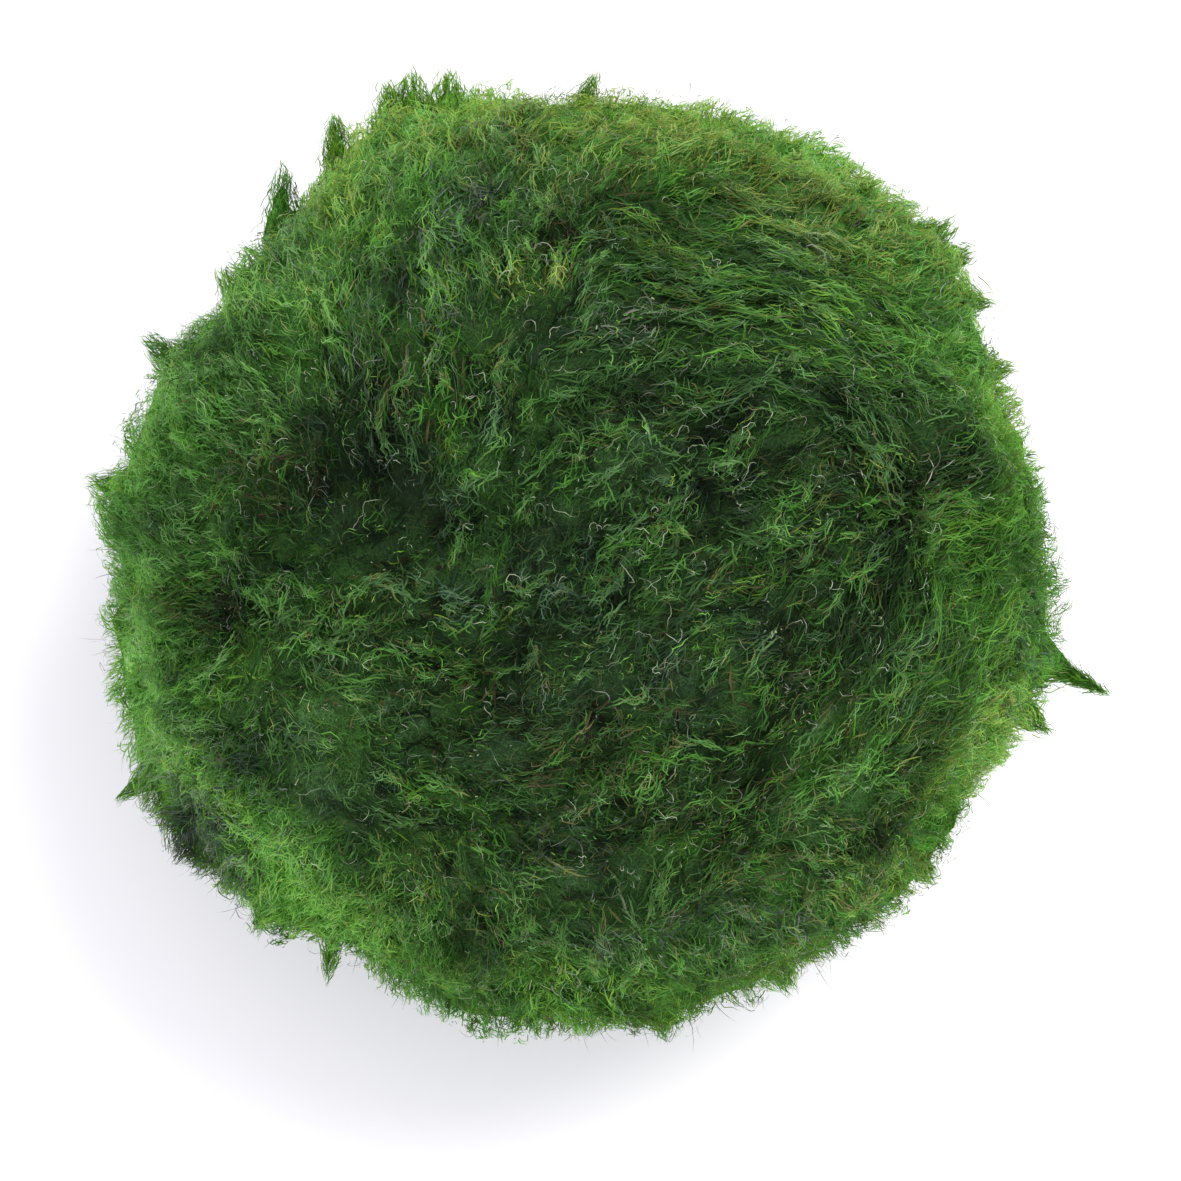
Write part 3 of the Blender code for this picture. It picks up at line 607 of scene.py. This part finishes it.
def fleece(name, shape, locks, rng, count, length, width, spread, top, shade, wisp, loose):
    """A share of the coat: short, crinkled strands, or wisps of several filaments, that make up the locks or
    lie loose between them. The spread is how far a strand leaves its lock's way and how wide its lock is, and
    the top and the shade raise and lighten them all."""
    kind = WISP if wisp else STRAND
    vary = varied_by(rng, count)
    own = rng.choice(LOCKS, count, p=locks.weight / locks.weight.sum())
    place = rng.random(count)
    at, flow = locks.spot(own, place)
    if loose:
        at = unit(rng.normal(size=(count, 3)))
        flow = laid(combed(at)[0], at)
    heading, tangle = combed(at)
    share = np.linspace(0, 1, kind.nodes)
    pointing = np.clip(dot(heading, at)[:, 0], 0, 1)
    stray = (rng.random(count) < STRAY.share + STRAY.share * pointing) & (not wisp)

    # Each strand's place in its lock, its length and its turns.
    radius = locks.radius[own] * (1 - LOCK.taper * place**3) * (1 + LOCK.fullness * spread)
    off = np.clip(vary(FLEECE.off), -FLEECE.most_off, FLEECE.most_off)
    long = length * rng.uniform(*FLEECE.lengths, count) * (FLEECE.tangled[0] + FLEECE.tangled[1] * tangle)
    long = long * (1 - FLEECE.outward_loss * pointing)
    step = (long / (kind.nodes - 1))[:, None]
    yaw = vary(spread + FLEECE.yaw * tangle + STRAY.yaw * stray) - off * FLEECE.fanning
    bend = vary(FLEECE.bend[0] + FLEECE.bend[1] * tangle) * kind.crinkle
    crinkled = FLEECE.crimp[0] + FLEECE.crimp[1] * tangle + FLEECE.outward_crimp * pointing
    crimp = rng.normal(size=(2, count, kind.nodes)) * crinkled[:, None] * kind.crinkle
    angle = yaw[:, None] + bend[:, None] * (share - 0.4) + crimp[0]
    outward = pointing * kind.outward
    rise = locks.rise[own] + FLEECE.outward_rise * outward + vary(FLEECE.rises)
    rise = np.clip(rise, *FLEECE.rise_range)
    level = FLEECE.climb - share[None] * (FLEECE.climb - FLEECE.outward_climb * outward[:, None])
    climb = rise[:, None] * level + crimp[1] * FLEECE.crimp_climb
    climb = climb + stray[:, None] * (STRAY.climb[0] + STRAY.climb[1] * outward[:, None])

    # Its path over the ball, with its highest point on the lock's rounded top.
    hop = step * np.cos(climb)
    along = np.cumsum(hop * np.cos(angle), 1)
    aside = np.cumsum(hop * np.sin(angle), 1)
    height = np.cumsum(step * np.sin(climb), 1)
    along = along - along.mean(1, keepdims=True)
    aside = aside - aside.mean(1, keepdims=True) + (off * radius)[:, None]
    lift = rng.uniform(*FLEECE.loose_lifts, count) if loose else locks.lift[own]
    peak = top + lift - radius * off**2 * LOCK.roundness - radius * rng.random(count) * LOCK.depth
    peak = peak + outward * place * FLEECE.outward_lift + stray * rng.uniform(0, STRAY.lift, count)
    height = height - height.max(1, keepdims=True) + peak[:, None]
    spines = paths(shape, at, flow, along, aside, height)

    # Its tip leans to the nearest brush.
    brush = np.array([locks.brushes.find(spot)[0] for spot in at])
    lean = heading * BRUSH.lean * pointing[:, None]
    meet = placed(shape, brush, np.full(count, BRUSH.height)) + lean
    pull = (BRUSH.pull[0] + BRUSH.pull[1] * pointing) * rng.uniform(*BRUSH.pulls, count) * (not wisp)
    away = (meet - spines[:, -1])[:, None] * share[:, None] ** 2
    spines = spines + away * pull[:, None, None]

    wide = width * rng.uniform(*FLEECE.widths, count) * np.where(stray, STRAY.width, 1)
    profile = 1 - FLEECE.narrowing * share**2
    if wisp:
        profile = FLEECE.wisp_ends + (1 - FLEECE.wisp_ends) * np.sin(pi * share**0.9)
    widths = wide[:, None] * profile

    hue, tone = painted(at)
    varied = contrast(at)
    hues = hue + varied * (locks.hue[own] + vary(kind.hues))
    # Painted shade: a strand is darker towards its lock's sides.
    in_lock = locks.tone[own] - np.abs(off) * LOCK.side_shade
    own_tone = vary(FLEECE.loose_tones) if loose else in_lock
    light = 0
    if not wisp:
        dead = rng.random(count) < DEAD_SHARE * varied
        hues = np.where(dead, rng.uniform(*DEAD_HUES, count), hues)
        light = (rng.random(count) < LIGHT_SHARE) * rng.uniform(*LIGHT_TONES, count)
    own_tone = own_tone + vary(kind.tones) + stray * STRAY.light + light
    # Painted shade: each strand is darker towards its root, where it lies deep in the coat.
    tones = (shade + tone + varied * own_tone)[:, None] * swell(share, *kind.light)
    if not wisp:
        # Painted light: strands that point out of the ball are lighter towards their tips.
        tones = tones + pointing[:, None] * share * FLEECE.outward_light
    hues = np.clip(hues, *HUE_RANGE)
    strip = STRIP
    if wisp:
        hues = (np.floor(hues * WISP_HUES) + 0.5) / WISP_HUES
        strip = WISP_STRIP / WISP_HUES
    return strand_mesh(name, spines, widths, vary(kind.twist), hues, tones, strip)


def curls(name, shape, rng, bunches, each, length, width, hue, tone, nodes=CURL.nodes):
    """Pale, curved or hooked filaments that lie on the coat in loose bunches, most of them short. The length,
    the hue and the tone are given as ranges."""
    centre = unit(rng.normal(size=(bunches, 3))).repeat(each, 0)
    count = bunches * each
    vary = varied_by(rng, count)
    at = unit(centre + rng.normal(size=(count, 3)) * CURL.scatter / MEAN_RADIUS)
    flow = laid(combed(at)[0], at)
    share = np.linspace(0, 1, nodes)
    turn = (rng.normal(size=bunches) * CURL.swing).repeat(each) + vary(CURL.yaw)
    kink = np.cumsum(rng.normal(size=(count, nodes)) * CURL.kink / sqrt(nodes), 1)
    hook = vary(CURL.hook)[:, None] * share ** rng.uniform(1, 4, count)[:, None]
    angle = turn[:, None] + kink + hook
    long = length[0] + (length[1] - length[0]) * rng.random(count) ** 2
    step = (long / (nodes - 1))[:, None]
    along = np.cumsum(np.cos(angle) * step, 1)
    aside = np.cumsum(np.sin(angle) * step, 1)
    height = CURL.height + vary(CURL.heights)[:, None] + long[:, None] * CURL.arch * np.sin(3 * share)
    height = height + np.cumsum(rng.normal(size=(count, nodes)) * CURL.waver, 1)
    spines = paths(shape, at, flow, along, aside, height)
    widths = width * rng.uniform(*CURL.widths, count)[:, None] * swell(share, *CURL.profile)
    hues = rng.uniform(*hue, bunches).repeat(each)
    light = rng.random(bunches).repeat(each) ** 1.5
    tones = tone[0] + (tone[1] - tone[0]) * light + vary(CURL.tones)
    twist = vary(CURL.twist)
    beads = np.clip(CURL.bead + rng.normal(size=(count, nodes)) * CURL.beads, *CURL.bead_range)
    tones = tones[:, None] * swell(share, *CURL.light) * beads
    return strand_mesh(name, spines, widths, twist, hues, tones)


def bristles(name, shape, rng):
    """Single hairs that stand out of the coat."""
    count = BRISTLE.count
    at = unit(rng.normal(size=(count, 3)))
    run = BRISTLE.lean * at + BRISTLE.lean * combed(at)[0] + rng.normal(size=(count, 3)) * BRISTLE.variety
    share = np.linspace(0, 1, STRAND.nodes)[:, None]
    bend = rng.normal(size=(count, 1, 3)) * BRISTLE.bend
    long = BRISTLE.length + BRISTLE.extra_length * rng.random((count, 1, 1)) ** 2
    foot = placed(shape, at, np.full(count, BRISTLE.height))[:, None]
    spines = foot + long * (unit(run)[:, None] * share + bend * share**2)
    along = share[:, 0]
    widths = BRISTLE.width * rng.uniform(*FLEECE.widths, (count, 1)) * (1 - BRISTLE.narrowing * along**2)
    tones = rng.uniform(*BRISTLE.tones, (count, 1))
    # Painted shade: a bristle is darker towards its root.
    tones = tones * (BRISTLE.root_tone + BRISTLE.tip_light * along)
    twist = rng.normal(size=count)
    return strand_mesh(name, spines, widths, twist, rng.uniform(*BRISTLE.hues, count), tones)


def tufts(name, rng):
    """The brushes of strands that break the outline."""
    table = np.array(TUFTS)
    size = table[:, 4] * table[:, 5]
    shares = np.round(TUFT.strands * size / size.mean()).astype(int)
    turn, out, reach, heading, length, width, hue, tone, taper = table.repeat(shares, 0).T
    count = len(turn)
    vary = varied_by(rng, count)
    tip = MIDDLE + seen(turn, out) * reach[:, None]
    along = seen(heading, 90)
    across = unit(np.cross(along, TOWARD))
    share = np.linspace(0, 1, STRAND.nodes)
    end = np.minimum(rng.uniform(*TUFT.ends, count), 1 + vary(TUFT.fray))
    step = TUFT.strand_length * rng.uniform(*TUFT.strand_lengths, count) / (STRAND.nodes - 1)
    swing = rng.uniform(0, 2 * pi, count)
    narrow = np.clip(1 - end, 0.02, 1.2) ** taper + TUFT.bluntness * (1.4 - taper)
    spot = np.sqrt(rng.uniform(*TUFT.filling, count)) * width / 2 * narrow
    away = across * np.cos(swing)[:, None] + TOWARD * (TUFT.flatness * np.sin(swing))[:, None]
    aside = across * -np.sin(swing)[:, None] + TOWARD * (TUFT.flatness * np.cos(swing))[:, None]
    lean = rng.normal(size=(2, count, 1)) * TUFT.lean + rng.normal(size=(2, count, len(share))) * TUFT.crimp
    lean[0] = lean[0] + TUFT.fanning
    run = along[:, None] + away[:, None] * lean[0][..., None] + aside[:, None] * lean[1][..., None]
    path = np.cumsum(unit(run) * step[:, None, None], 1)
    path = path - path[:, -1:]
    root = tip + along * ((end - 1) * length)[:, None] + away * spot[:, None]
    spines = root[:, None] + path
    wide = TUFT.strand_width * rng.uniform(*TUFT.strand_widths, count)
    widths = wide[:, None] * (1 - TUFT.narrowing * share**2)
    hues = np.clip(hue + vary(TUFT.hues), *HUE_RANGE)
    # Painted light and shade: a tuft's strands are lighter overall and darker towards their roots.
    tones = (tone + TUFT.light + vary(TUFT.tones))[:, None] * (TUFT.root_tone + TUFT.tip_light * share)
    facing = unit(away + TUFT.facing * unit(spines[:, -1] - MIDDLE))[:, None]
    return strand_mesh(name, spines, widths, vary(TUFT.twist), hues, tones, facing=facing)


def tuft_core(bm, row, rng):
    """Add the matted middle of a tuft: an uneven cone that follows the tuft's sides."""
    turn, out, reach, heading, length, width, _, _, taper = row
    along = seen(heading, 90)
    across = unit(np.cross(along, TOWARD))
    tip = MIDDLE + seen(turn, out) * reach
    core = bmesh.new()
    bmesh.ops.create_cone(core, cap_ends=True, segments=CORE.sides, radius1=1, radius2=1, depth=1)
    upright = [edge for edge in core.edges if abs(edge.verts[0].co.z - edge.verts[1].co.z) > 0.5]
    bmesh.ops.subdivide_edges(core, edges=upright, cuts=CORE.rings)
    for vertex in core.verts:
        place = 0.5 + vertex.co.z
        half = CORE.share * width / 2 * (1 - 0.995 * place) ** taper * rng.uniform(*CORE.unevenness)
        point = tip + along * (place * CORE.share - 1) * length
        vertex.co = point + across * vertex.co.x * half + TOWARD * vertex.co.y * half * TUFT.flatness
    mesh = bpy.data.meshes.new("core")
    core.to_mesh(mesh)
    core.free()
    bm.from_mesh(mesh)
    bpy.data.meshes.remove(mesh)


def felt(name, shape):
    """The matted body under the coat, with a core in each tuft."""
    bm = bmesh.new()
    bmesh.ops.create_icosphere(bm, subdivisions=FELT.subdivisions, radius=1)
    ways = unit(np.array([vertex.co for vertex in bm.verts]))
    bumps = FELT.bump_height * waves(ways, FELT.bump_size, 41)
    inner = np.clip(np.abs(ways @ TOWARD) * 2.5, 0, 1)
    points = placed(shape, ways, bumps - FELT.depth * (FELT.rim_depth + (1 - FELT.rim_depth) * inner))
    points[:, 2] = np.maximum(points[:, 2], FLOOR_GAP)
    for vertex, point in zip(bm.verts, points):
        vertex.co = point
    hue, tone = painted(ways, own_hue=True)
    # Painted shade: the felt is darker than the coat, and darker still towards the middle of the view.
    tone = tone * (FELT.tone - FELT.darkening * np.clip((ways @ TOWARD) * 1.6, 0, 1))
    rng = np.random.default_rng(SEED)
    for row in TUFTS:
        before = len(bm.verts)
        tuft_core(bm, row, rng)
        added = len(bm.verts) - before
        hue = np.append(hue, np.full(added, row[6]))
        # Painted shade: a tuft's core is darker than its strands.
        tone = np.append(tone, np.full(added, CORE.tone * row[7]))
    mesh = bpy.data.meshes.new(name)
    bm.to_mesh(mesh)
    bm.free()
    mesh.shade_smooth()
    colors = mesh.color_attributes.new("moss", "FLOAT_COLOR", "POINT")
    values = np.stack([hue, tone, np.zeros_like(hue), np.ones_like(hue)], -1)
    colors.data.foreach_set("color", values.astype(np.float32).ravel())
    return linked(name, mesh)


class Nodes:
    """Short ways to add and link a material's nodes."""

    def __init__(self, name):
        self.material = bpy.data.materials.new(name)
        self.material.use_nodes = True
        self.tree = self.material.node_tree
        self.shader = self.tree.nodes["Principled BSDF"]

    def fill(self, node, inputs):
        """Give a node's inputs values or the outputs of other nodes."""
        for key, value in inputs.items():
            if isinstance(value, (int, float, tuple)):
                node.inputs[key].default_value = value
            else:
                self.tree.links.new(value, node.inputs[key])

    def add(self, kind, inputs, **settings):
        """A new node's outputs."""
        node = self.tree.nodes.new("ShaderNode" + kind)
        for key, value in settings.items():
            setattr(node, key, value)
        self.fill(node, inputs)
        return node.outputs

    def ramp(self, factor, stops):
        made = self.add("ValToRGB", {0: factor})[0]
        ends = made.node.color_ramp.elements
        for number, (place, color) in enumerate(stops):
            stop = ends[number] if number < 2 else ends.new(place)
            stop.position = place
            stop.color = (*color, 1)
        return made

    def math(self, operation, first, second=0):
        return self.add("Math", {0: first, 1: second}, operation=operation)[0]

    def mix(self, factor, first, second, blend="MIX"):
        inputs = {0: factor, 6: first, 7: second}
        return self.add("Mix", inputs, data_type="RGBA", blend_type=blend)[2]

    def noise(self, place, scale, detail, dimensions="3D"):
        inputs = {"Vector": place, "Scale": scale, "Detail": detail}
        return self.add("TexNoise", inputs, noise_dimensions=dimensions)[0]


def moss_color(m, hue, tone):
    """The palette's colour in a hue and a tone, paler in the lightest tones."""
    dark = m.ramp(hue, [(place, low) for place, low, _ in PALETTE])
    light = m.ramp(hue, [(place, high) for place, _, high in PALETTE])
    color = m.mix(m.math("POWER", tone, TONE_CURVE), dark, light)
    paler = m.math("MULTIPLY", m.math("POWER", tone, PALE_CURVE), PALENESS)
    return m.mix(paler, color, (*PALE, 1))


def strand_material(name, streaked):
    """Filaments, coloured by the hue and the tone in the strands' map: smoother where they are light, with
    light shining through them. Wisps of several filaments have light and dark streaks along their strip of
    the map, darker at its sides as painted shade."""
    m = Nodes(name)
    place = m.add("UVMap", {}, uv_map="OFBake")[0]
    hue, tone, _ = m.add("SeparateXYZ", {0: place})
    if streaked:
        stretch = m.add("Mapping", {"Vector": place, "Scale": (WISP_HUES * WISP_STREAKS, 14, 1)})[0]
        streaks = m.noise(stretch, 1, 1.5, "2D")
        across = m.math("FRACT", m.math("MULTIPLY", hue, WISP_HUES))
        side = m.math("MULTIPLY", m.math("ABSOLUTE", m.math("SUBTRACT", across, 0.5)), 2)
        # Painted shade: a wisp is darker at its sides.
        edge = m.math("SUBTRACT", 1.0, m.math("MULTIPLY", m.math("POWER", side, 2), WISP_PAINTED_EDGE_SHADE))
        streak = m.math("MAXIMUM", m.math("ADD", m.math("MULTIPLY", streaks, 1.7), 0.08), 0.2)
        tone = m.math("MULTIPLY", tone, m.math("MULTIPLY", streak, edge))
    color = moss_color(m, hue, tone)
    rough = m.add("MapRange", {0: tone, "To Min": DARK_ROUGHNESS, "To Max": LIGHT_ROUGHNESS})[0]
    m.fill(m.shader, {"Base Color": color, "Roughness": rough, "Specular IOR Level": 0.08})
    through = m.add("BsdfTranslucent", {0: m.mix(1.0, color, THROUGH_TINT, "MULTIPLY")})[0]
    blend = m.add("MixShader", {0: THROUGH_SHARE, 1: m.shader.outputs[0], 2: through})[0]
    m.fill(m.tree.nodes["Material Output"], {0: blend})
    return m.material


def felt_material():
    """Matted filaments: the coat's colours, dark, under webs of fine crinkled lines."""
    m = Nodes("moss_felt")
    moss = m.add("VertexColor", {}, layer_name="moss")[0]
    hue, tone, _ = m.add("SeparateColor", {0: moss})
    place = m.add("TexCoord", {})["Object"]
    lines = 0
    for scale, sharpness in FELT.lines:
        middle = m.math("ABSOLUTE", m.math("SUBTRACT", m.noise(place, scale, 2), 0.5))
        lines = m.math("MAXIMUM", lines, m.math("SUBTRACT", 1, m.math("MULTIPLY", middle, sharpness)))
    patch = m.noise(place, *FELT.patches)
    hue = m.math("ADD", hue, m.math("MULTIPLY", m.math("SUBTRACT", patch, 0.5), 0.2))
    light = m.math("ADD", m.math("MULTIPLY", lines, 0.8), m.math("MULTIPLY", patch, 1.4))
    tone = m.math("MULTIPLY", tone, m.math("MAXIMUM", m.math("SUBTRACT", light, 0.25), 0.1))
    bump = m.add("Bump", {"Height": lines, "Strength": 0.8, "Distance": 0.0001})[0]
    looks = {"Base Color": moss_color(m, hue, tone), "Normal": bump, "Roughness": 0.95}
    m.fill(m.shader, looks | {"Specular IOR Level": 0.03})
    return m.material


def floor():
    """A pale, plain floor."""
    bpy.ops.mesh.primitive_plane_add(size=4)
    made = bpy.context.object
    made.name = "floor"
    m = Nodes("pale_floor")
    grain = m.add("TexNoise", {"Scale": 40})[0]
    color = m.ramp(grain, [(0.3, (0.72, 0.712, 0.735)), (0.7, (0.74, 0.732, 0.755))])
    m.fill(m.shader, {"Base Color": color, "Roughness": 0.7})
    made.data.materials.append(m.material)


def area_light(name, turn, elevation, distance, size, power, color):
    """A soft lamp aimed at the ball: turn is anticlockwise from +X, seen from above."""
    lamp = bpy.data.lights.new(name, "AREA")
    lamp.shape = "DISK"
    lamp.size = size
    lamp.energy = power
    lamp.color = color
    made = linked(name, lamp)
    turn, elevation = radians(turn), radians(elevation)
    way = Vector((cos(turn) * cos(elevation), sin(turn) * cos(elevation), sin(elevation)))
    made.location = Vector(MIDDLE) + way * distance
    made.rotation_euler = way.to_track_quat("Z", "Y").to_euler()


def lights():
    world = bpy.data.worlds.new("studio")
    world.use_nodes = True
    world.node_tree.nodes["Background"].inputs[0].default_value = SKY_COLOR
    world.node_tree.nodes["Background"].inputs[1].default_value = SKY_STRENGTH
    bpy.context.scene.world = world
    area_light("key", turn=34, elevation=62, distance=0.8, size=0.42, power=5.0, color=(1.0, 0.98, 0.94))
    area_light("fill", turn=-80, elevation=24, distance=0.9, size=0.6, power=3.0, color=(1.0, 1.0, 1.0))


def camera():
    """The view from above and a little in front, with the ball where the photo has it."""
    lens = bpy.data.cameras.new("camera")
    made = linked("camera", lens)
    off_middle = np.array((PHOTO_SIDE / 2 - BALL_PIXEL[0], BALL_PIXEL[1] - PHOTO_SIDE / 2)) * PIXEL
    aim = MIDDLE + RIGHT * off_middle[0] + UP * off_middle[1]
    made.location = Vector(aim + TOWARD * CAMERA_DISTANCE)
    made.rotation_euler = Vector(TOWARD).to_track_quat("Z", "Y").to_euler()
    lens.sensor_width = 36
    lens.angle = 2 * atan(PHOTO_SIDE / 2 * PIXEL / CAMERA_DISTANCE)
    lens.clip_start = 0.01
    bpy.context.scene.camera = made


def dress(piece, material):
    piece.data.materials.append(material)
    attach(piece, "root")


camera()
lights()
floor()
shape = Shape(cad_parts["moss_ball"])
rng = np.random.default_rng(SEED)
body = felt("felt", shape)
dress(body, felt_material())
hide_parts("moss_ball")
filaments = strand_material("moss_filaments", streaked=False)
locks = Locks(rng)
streaked = strand_material("moss_wisps", streaked=True)
# Name, count, length, width, spread, top, shade (lower for the deeper pieces: painted shade), whether it is
# of wisps and whether it lies loose.
for name, *values, wisp, loose in (
    ("under_wisps", 15800, 0.0018, 0.00015, 0.6, -0.0003, -0.05, True, True),
    ("wisps", 24800, 0.0021, 0.00012, 0.2, -0.0001, -0.005, True, False),
    ("loose_coat", STRANDS_PER_PIECE, 0.0014, 0.000054, 0.35, 0.0, -0.03, False, True),
    ("coat_1", STRANDS_PER_PIECE, 0.00122, 0.000053, 0.14, 0.00022, 0.008, False, False),
    ("coat_2", STRANDS_PER_PIECE, 0.00122, 0.000053, 0.14, 0.00022, 0.008, False, False),
):
    dress(fleece(name, shape, locks, rng, *values, wisp, loose), streaked if wisp else filaments)
# Name, bunches, curls in each, their lengths, width, hues and tones, and how many points one has.
for name, *values in (
    ("pale_curls", 3100, 2, (0.0003, 0.0018), 0.000025, (0.8, 0.99), (0.24, 1.0)),
    ("bright_curls", 850, 4, (0.0003, 0.0015), 0.00003, (0.34, 0.62), (0.4, 0.9)),
    # glints: tiny pale bits on the coat, painted highlights that stand for glints on wet filaments.
    ("glints", 2400, 1, (0.00008, 0.0003), 0.000036, (0.95, 0.985), (0.3, 1.0), 3),
):
    dress(curls(name, shape, rng, *values), filaments)
dress(tufts("tufts", rng), filaments)
dress(bristles("bristles", shape, rng), filaments)
bpy.context.scene.view_settings.view_transform = "Standard"

bpy.context.view_layer.update()
